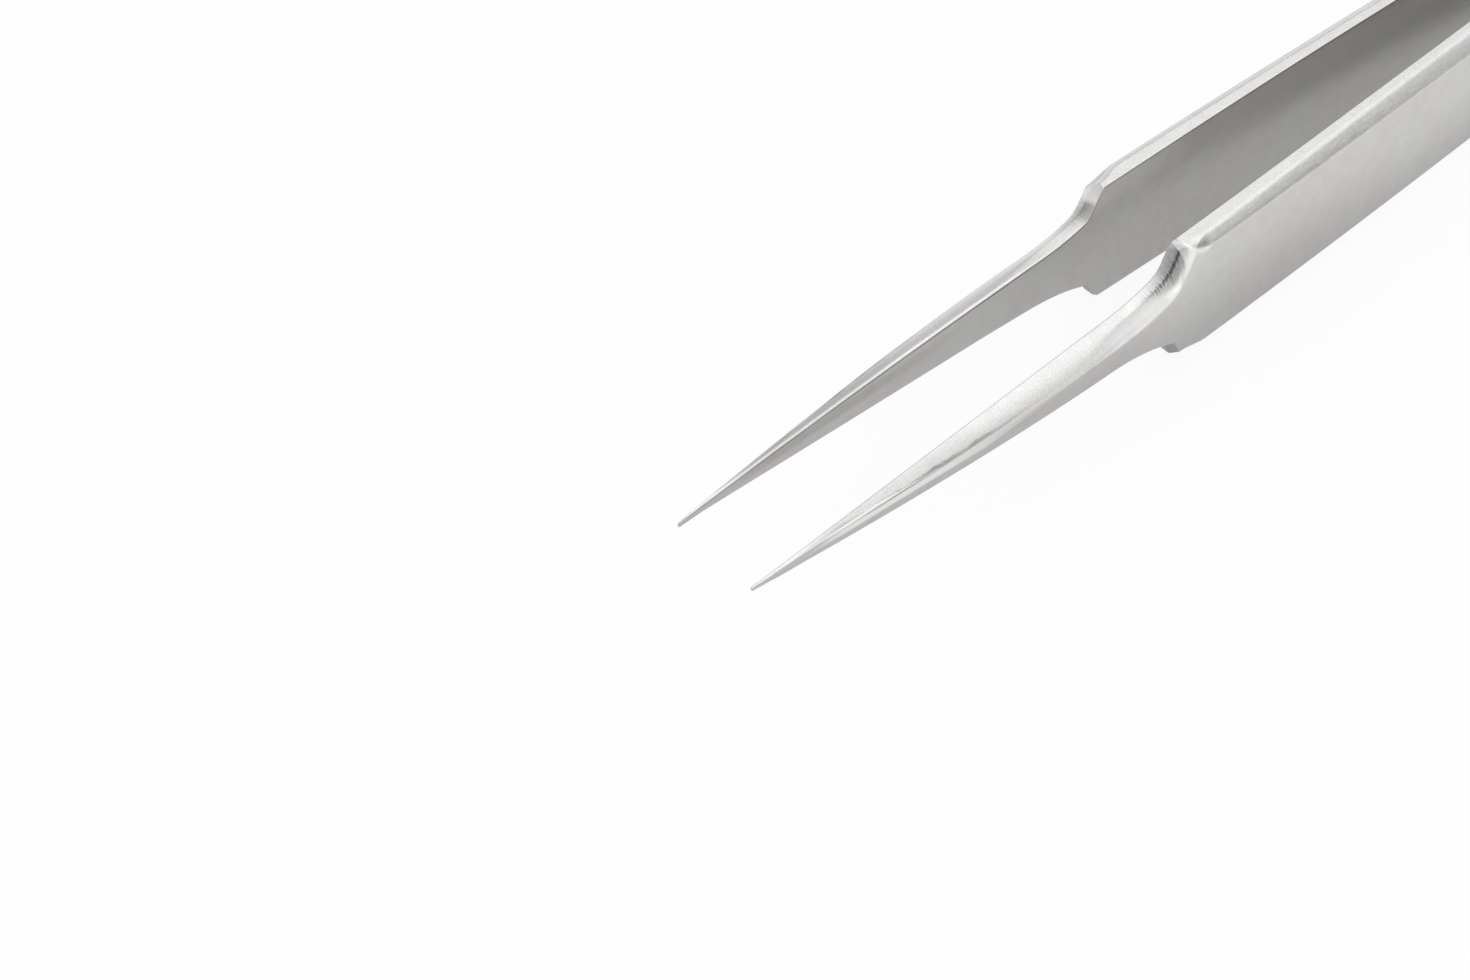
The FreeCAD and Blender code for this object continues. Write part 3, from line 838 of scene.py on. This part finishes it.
def new_group(name, inputs, outputs):
    """A shader node group with named sockets, and its input and output nodes."""
    group = bpy.data.node_groups.new(name, "ShaderNodeTree")
    for label, kind, default in inputs:
        socket = group.interface.new_socket(label, in_out="INPUT", socket_type=kind)
        socket.default_value = default
    for label, kind in outputs:
        group.interface.new_socket(label, in_out="OUTPUT", socket_type=kind)
    return group, group.nodes.new("NodeGroupInput"), group.nodes.new("NodeGroupOutput")


def place_group(tree, group, **values):
    """A group node in a material, with its inputs set."""
    made = node(tree, "ShaderNodeGroup")
    made.node_tree = group
    for name, value in values.items():
        made.inputs[name].default_value = value
    return made


def noise(tree, scale, detail, roughness):
    """A noise in Object coordinates, with its scale from a socket."""
    made = node(tree, "ShaderNodeTexNoise", Detail=detail, Roughness=roughness)
    join(tree, node(tree, "ShaderNodeTexCoord").outputs["Object"], made.inputs["Vector"])
    join(tree, scale, made.inputs["Scale"])
    return made.outputs["Fac"]


def mottle_group():
    """Faint patches of a warm and a cool cast to darken a colour by, in Object coordinates."""
    group, start, end = new_group(
        "Steel mottle",
        [
            ("Warm", "NodeSocketColor", (1, 1, 1, 1)),
            ("Cool", "NodeSocketColor", (1, 1, 1, 1)),
            ("Scale", "NodeSocketFloat", CAST_SCALE),
        ],
        [("Cast", "NodeSocketColor")],
    )
    share = remap(group, noise(group, start.outputs["Scale"], 2.0, 0.5), 0.38, 0.62)
    join(group, blend(group, share, start.outputs["Warm"], start.outputs["Cool"]), end.inputs["Cast"])
    return group


def grain_group():
    """Fine grain of blasted and tumbled steel: two noises in Object coordinates."""
    group, start, end = new_group(
        "Steel grain",
        [("Scale", "NodeSocketFloat", GRAIN_SCALE)],
        [("Grain", "NodeSocketFloat"), ("Clouds", "NodeSocketFloat")],
    )
    scale = start.outputs["Scale"]
    join(group, noise(group, scale, 3.0, 0.6), end.inputs["Grain"])
    join(group, noise(group, times(group, scale, CLOUD_SCALE), 4.0, 0.55), end.inputs["Clouds"])
    return group


def strokes_group():
    """Strokes of a wheel: one noise, stretched by how far it runs along the edge and across the ridge."""
    group, start, end = new_group(
        "Wheel strokes",
        [(label, "NodeSocketFloat", scale) for label, scale in CUTS.items()],
        [("Strokes", "NodeSocketFloat")],
    )
    spot = node(group, "ShaderNodeCombineXYZ")
    for name, scale, axis in (("run", "Along", "X"), ("ridge", "Across", "Y")):
        join(group, times(group, mark(group, name), start.outputs[scale]), spot.inputs[axis])
    strokes = node(group, "ShaderNodeTexNoise", Scale=1.0, Detail=4.0, Roughness=0.6)
    join(group, spot.outputs["Vector"], strokes.inputs["Vector"])
    join(group, strokes.outputs["Fac"], end.inputs["Strokes"])
    return group


def opaque(rgb):
    """A colour with full alpha."""
    return (*rgb, 1.0)


def face_colour(tree, look):
    """Colour of the satin faces: a painted highlight inside near the shoulder, painted shade towards their
    lower edges, and painted shade on the blade.
    """
    height = mark(tree, "height")
    # Painted shade: darker towards the lower edges of the outer and inner faces.
    outer_shade = remap(tree, height, 0.9, 0.1, 0.035, 0.31)
    inner_shade = remap(tree, height, 0.95, 0.65, 0.0, 0.22)
    shade = blend(tree, mark(tree, "inner"), outer_shade, inner_shade, "FLOAT")
    base = blend(tree, mark(tree, "inner_highlight"), opaque(look.satin), opaque(look.inner_highlight))
    base = blend(tree, shade, base, opaque(look.dark))
    return blend(tree, mark(tree, "blade"), base, opaque(look.blade), mode="MULTIPLY")


def ground_layers(tree, look, grain, streaks):
    """Layers of the ground edges: painted shade on the right blade's edges, the bevel and its scoop, wear and
    frost, and painted shade on the shoulder's facets.
    """
    lower_side = remap(tree, mark(tree, "ridge"), 0.0, 0.75, 0.1, 0.85)
    streaks = maths(tree, "SUBTRACT", streaks, 0.5)
    streaks = maths(tree, "MULTIPLY_ADD", streaks, STREAK_STRENGTH, lower_side, clamp=True)
    frost = remap(tree, grain.outputs["Grain"], 0.4, 0.62, 0.13, 0.0)
    return [
        (mark(tree, "top"), look.ground),
        # Painted shade on the right blade's edges.
        (mark(tree, "right_edge_shade"), look.right_edge_shade),
        (times(tree, streaks, mark(tree, "bevel")), look.bevel),
        (times(tree, mark(tree, "scoop"), 0.45), look.dark),
        (remap(tree, grain.outputs["Clouds"], 0.35, 0.7, 0.0, 0.05), look.dark),
        (times(tree, frost, mark(tree, "top")), look.dark),
        # Facet, neck and lower shoulder darkened: partly grit, partly painted shade.
        (mark(tree, "facet"), look.dark),
    ]


def scallop_layers(tree, look, grain, strokes):
    """Layers of the scallop: dark grit in the wheel's strokes, and a ragged burr on the ridge."""
    scallop = mark(tree, "scallop")
    from_ridge = maths(tree, "ABSOLUTE", mark(tree, "ridge"))
    speckle = maths(tree, "ADD", strokes, remap(tree, grain.outputs["Grain"], 0.4, 0.6, -0.1, 0.1))
    grit = remap(tree, speckle, 0.35, 0.65, 0.2, 0.55)
    grit = times(tree, grit, remap(tree, from_ridge, 0.1, 0.7, 1.0, 0.4))
    apart = maths(tree, "SUBTRACT", from_ridge, maths(tree, "MULTIPLY_ADD", strokes, *RAGGED))
    burr = times(tree, remap(tree, apart, 0.07, 0.0, 0.0, 0.9), mark(tree, "burr"))
    return [(times(tree, share, scallop), look.dark) for share in (grit, burr)]


def crease_layers(tree, look, clouds, patches):
    """Layers of the crease along the blade: painted shade above it, a painted highlight strip under it, and
    its wavy dark line of painted shade.
    """
    crease = mark(tree, "crease")
    above = remap(tree, crease, -0.9, -0.1, 0.0, 0.2)
    strip = remap(tree, crease, 0.06, 0.14)
    strip = times(tree, strip, remap(tree, crease, 0.75, 0.5))
    wavy = maths(tree, "ADD", crease, maths(tree, "MULTIPLY_ADD", clouds, *WAVY))
    dark = remap(tree, maths(tree, "ABSOLUTE", wavy), 0.11, 0.03)
    dark = times(tree, dark, times(tree, patches, 0.52))
    layers = ((above, look.dark), (strip, look.bright), (dark, look.dark))
    return [(times(tree, share, mark(tree, "line")), rgb) for share, rgb in layers]


def steel_roughness(tree, look, clouds):
    """Roughness of the steel: its own for the inner faces, the ground top, the scallop and the band."""
    rough = blend(tree, mark(tree, "top"), look.satin_roughness, look.ground_roughness, "FLOAT")
    rough = blend(tree, mark(tree, "inner"), rough, look.inner_roughness, "FLOAT")
    rough = maths(tree, "MULTIPLY_ADD", clouds, CLOUD_ROUGHNESS, rough)
    rough = blend(tree, mark(tree, "scallop"), rough, look.scallop_roughness, "FLOAT")
    return blend(tree, mark(tree, "band"), rough, look.rim_roughness, "FLOAT")


def steel_material(look):
    """Ground spring steel: layers of colour on the satin faces, painted shade and painted highlights among
    them, with a faint cast, and a fine relief.
    """
    material = bpy.data.materials.new("Ground spring steel")
    material.use_nodes = True
    tree = material.node_tree
    shader = tree.nodes["Principled BSDF"]
    shader.inputs["Metallic"].default_value = 1.0
    grain = place_group(tree, grain_group(), Scale=GRAIN_SCALE)
    clouds = grain.outputs["Clouds"]
    cast = place_group(tree, mottle_group(), Warm=opaque(look.warm), Cool=opaque(look.cool), Scale=CAST_SCALE)
    wheel = strokes_group()
    strokes, streaks = (place_group(tree, wheel, **scales).outputs["Strokes"] for scales in (CUTS, STREAKS))
    patches = remap(tree, clouds, 0.3, 0.6, 0.55, 1.0)

    layers = [
        *ground_layers(tree, look, grain, streaks),
        *scallop_layers(tree, look, grain, strokes),
        *crease_layers(tree, look, clouds, patches),
        # Painted highlight along the rim round the shoulder.
        (times(tree, mark(tree, "band"), patches), look.rim_highlight),
    ]
    colour_now = face_colour(tree, look)
    for share, rgb in layers:
        colour_now = blend(tree, share, colour_now, opaque(rgb))
    top = mark(tree, "top")
    share = remap(tree, top, 0.0, 1.0, 1.0, 0.3)
    colour_now = blend(tree, share, colour_now, cast.outputs["Cast"], mode="MULTIPLY")

    relief = times(tree, grain.outputs["Grain"], remap(tree, top, 0.0, 1.0, 0.4, 1.4))
    cuts = times(tree, strokes, mark(tree, "scallop"))
    relief = maths(tree, "MULTIPLY_ADD", cuts, CUT_RELIEF, relief)
    bump = node(tree, "ShaderNodeBump", Strength=0.5, Distance=0.01 * MM)
    join(tree, relief, bump.inputs["Height"])
    join(tree, bump.outputs["Normal"], shader.inputs["Normal"])
    join(tree, colour_now, shader.inputs["Base Color"])
    join(tree, steel_roughness(tree, look, clouds), shader.inputs["Roughness"])
    return material


def make_arm(context, name, scooped, turned):
    """One arm in place of its plain solid, riding with the part."""
    scene = context.scene
    mesh = arm_mesh(name, scene.tweezers_sizes, scooped, turned)
    steel = bpy.data.materials.get("Ground spring steel") or steel_material(scene.tweezers_steel)
    mesh.materials.append(steel)
    arm = bpy.data.objects.new(name, mesh)
    scene.collection.objects.link(arm)
    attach(arm, "root")
    return arm


class TWEEZERS_OT_left_arm(bpy.types.Operator):
    """Make the left arm, whose bevel starts in a scoop behind the shoulder"""

    bl_idname = "tweezers.left_arm"
    bl_label = "Left arm"

    def execute(self, context):
        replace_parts(make_arm(context, "left_arm_ground", scooped=True, turned=False), "left_arm")
        return {"FINISHED"}


class TWEEZERS_OT_right_arm(bpy.types.Operator):
    """Make the right arm, whose bevel runs out through the shoulder"""

    bl_idname = "tweezers.right_arm"
    bl_label = "Right arm"

    def execute(self, context):
        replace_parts(make_arm(context, "right_arm_ground", scooped=False, turned=True), "right_arm")
        return {"FINISHED"}


def floor_material(look):
    """Pale floor that shows as white and keeps a soft shadow."""
    material = bpy.data.materials.new("Floor")
    material.use_nodes = True
    tree = material.node_tree
    tree.nodes.remove(tree.nodes["Principled BSDF"])
    paper = node(tree, "ShaderNodeBsdfDiffuse", Color=opaque(look.floor))
    white = node(tree, "ShaderNodeEmission", Strength=1.0)
    path = node(tree, "ShaderNodeLightPath")
    seen = times(tree, path.outputs["Is Camera Ray"], look.shine)
    seen = maths(tree, "MULTIPLY_ADD", path.outputs["Is Glossy Ray"], look.glint, seen, clamp=True)
    mix = node(tree, "ShaderNodeMixShader")
    join(tree, seen, mix.inputs["Fac"])
    join(tree, paper.outputs["BSDF"], mix.inputs[1])
    join(tree, white.outputs["Emission"], mix.inputs[2])
    join(tree, mix.outputs["Shader"], tree.nodes["Material Output"].inputs["Surface"])
    return material


def make_floor(look):
    """A wide flat floor under the tweezers."""
    half = 1.5
    mesh = bpy.data.meshes.new("floor")
    corners = [(-half, -half, LOW.z), (half, -half, LOW.z), (half, half, LOW.z), (-half, half, LOW.z)]
    mesh.from_pydata(corners, [], [(0, 1, 2, 3)])
    mesh.materials.append(floor_material(look))
    floor = bpy.data.objects.new("floor", mesh)
    bpy.context.scene.collection.objects.link(floor)


def make_lamp(name, direction, distance, width, power):
    """A square lamp that looks at the tweezers from a direction."""
    light = bpy.data.lights.new(name, "AREA")
    light.size = width
    light.energy = power
    lamp = bpy.data.objects.new(name, light)
    towards = Vector(direction).normalized()
    turn = towards.to_track_quat("Z", "Y").to_matrix().to_4x4()
    lamp.matrix_world = Matrix.Translation(towards * distance) @ turn
    bpy.context.scene.collection.objects.link(lamp)


def make_world(look):
    """Even light from all around, and white behind everything."""
    world = bpy.data.worlds.new("Studio")
    world.use_nodes = True
    tree = world.node_tree
    sky = tree.nodes["Background"]
    sky.inputs["Color"].default_value = (1, 1, 1, 1)
    path = node(tree, "ShaderNodeLightPath")
    direction = node(tree, "ShaderNodeSeparateXYZ")
    join(tree, node(tree, "ShaderNodeTexCoord").outputs["Generated"], direction.inputs["Vector"])
    up = direction.outputs["Z"]
    side = remap(tree, up, 0.0, HORIZON_HEIGHT, look.wall, look.horizon)
    above = remap(tree, up, HORIZON_HEIGHT, SKY_HEIGHT, 0.0, look.sky - look.horizon)
    level = maths(tree, "ADD", side, above)
    join(tree, blend(tree, path.outputs["Is Camera Ray"], level, 1.0, "FLOAT"), sky.inputs["Strength"])
    bpy.context.scene.world = world


def make_camera():
    """The photo's view: it looks down on the points from the left arm's side."""
    right = Vector((-0.75710, 0.65224, -0.03724))
    up = Vector((-0.51354, -0.55892, 0.65106))
    back = right.cross(up).normalized()
    place = Vector((123.872, 86.441, 137.512)) * MM
    data = bpy.data.cameras.new("Camera")
    data.sensor_width = 36
    data.lens = FOCAL_PIXELS / PHOTO_WIDTH * data.sensor_width
    data.clip_start = 0.01
    camera = bpy.data.objects.new("Camera", data)
    turn = Matrix((right, up, back)).transposed().to_4x4()
    camera.matrix_world = Matrix.Translation(place) @ turn
    bpy.context.scene.collection.objects.link(camera)
    bpy.context.scene.camera = camera


class TWEEZERS_OT_stage(bpy.types.Operator):
    """Make the floor, the lamps, the world and the camera"""

    bl_idname = "tweezers.stage"
    bl_label = "Stage"

    def execute(self, context):
        look = context.scene.tweezers_stage
        make_floor(look)
        make_lamp("overhead_lamp", (0.1, -0.1, 0.99), distance=0.8, width=0.6, power=look.key)
        make_lamp("front_lamp", (0.15, 0.95, 0.28), distance=0.8, width=0.4, power=look.front)
        make_world(look)
        make_camera()
        context.scene.view_settings.view_transform = "Standard"
        return {"FINISHED"}


class TWEEZERS_PT_panel(bpy.types.Panel):
    """Sizes, finish and stage of the tweezers"""

    bl_idname = "TWEEZERS_PT_panel"
    bl_label = "Fine-point tweezers"
    bl_space_type = "VIEW_3D"
    bl_region_type = "UI"
    bl_category = "Tweezers"

    def draw(self, context):
        layout = self.layout
        for operator in OPERATORS:
            layout.operator(operator.bl_idname)
        scene = context.scene
        for group in (scene.tweezers_sizes, scene.tweezers_steel, scene.tweezers_stage):
            box = layout.box()
            for name in type(group).__annotations__:
                box.prop(group, name)


OPERATORS = (TWEEZERS_OT_left_arm, TWEEZERS_OT_right_arm, TWEEZERS_OT_stage)
GROUPS = {"tweezers_sizes": ArmSizes, "tweezers_steel": SteelLook, "tweezers_stage": StageLook}


def register():
    """Add the settings, operators and panel."""
    for group in GROUPS.values():
        bpy.utils.register_class(group)
    for name, group in GROUPS.items():
        setattr(bpy.types.Scene, name, PointerProperty(type=group))
    for item in (*OPERATORS, TWEEZERS_PT_panel):
        bpy.utils.register_class(item)


def unregister():
    """Take them away again."""
    for item in (TWEEZERS_PT_panel, *reversed(OPERATORS)):
        bpy.utils.unregister_class(item)
    for name, group in GROUPS.items():
        delattr(bpy.types.Scene, name)
        bpy.utils.unregister_class(group)


def main():
    """Make the tweezers and their stage."""
    register()
    bpy.ops.tweezers.left_arm()
    bpy.ops.tweezers.right_arm()
    bpy.ops.tweezers.stage()


if __name__ == "__main__":
    main()
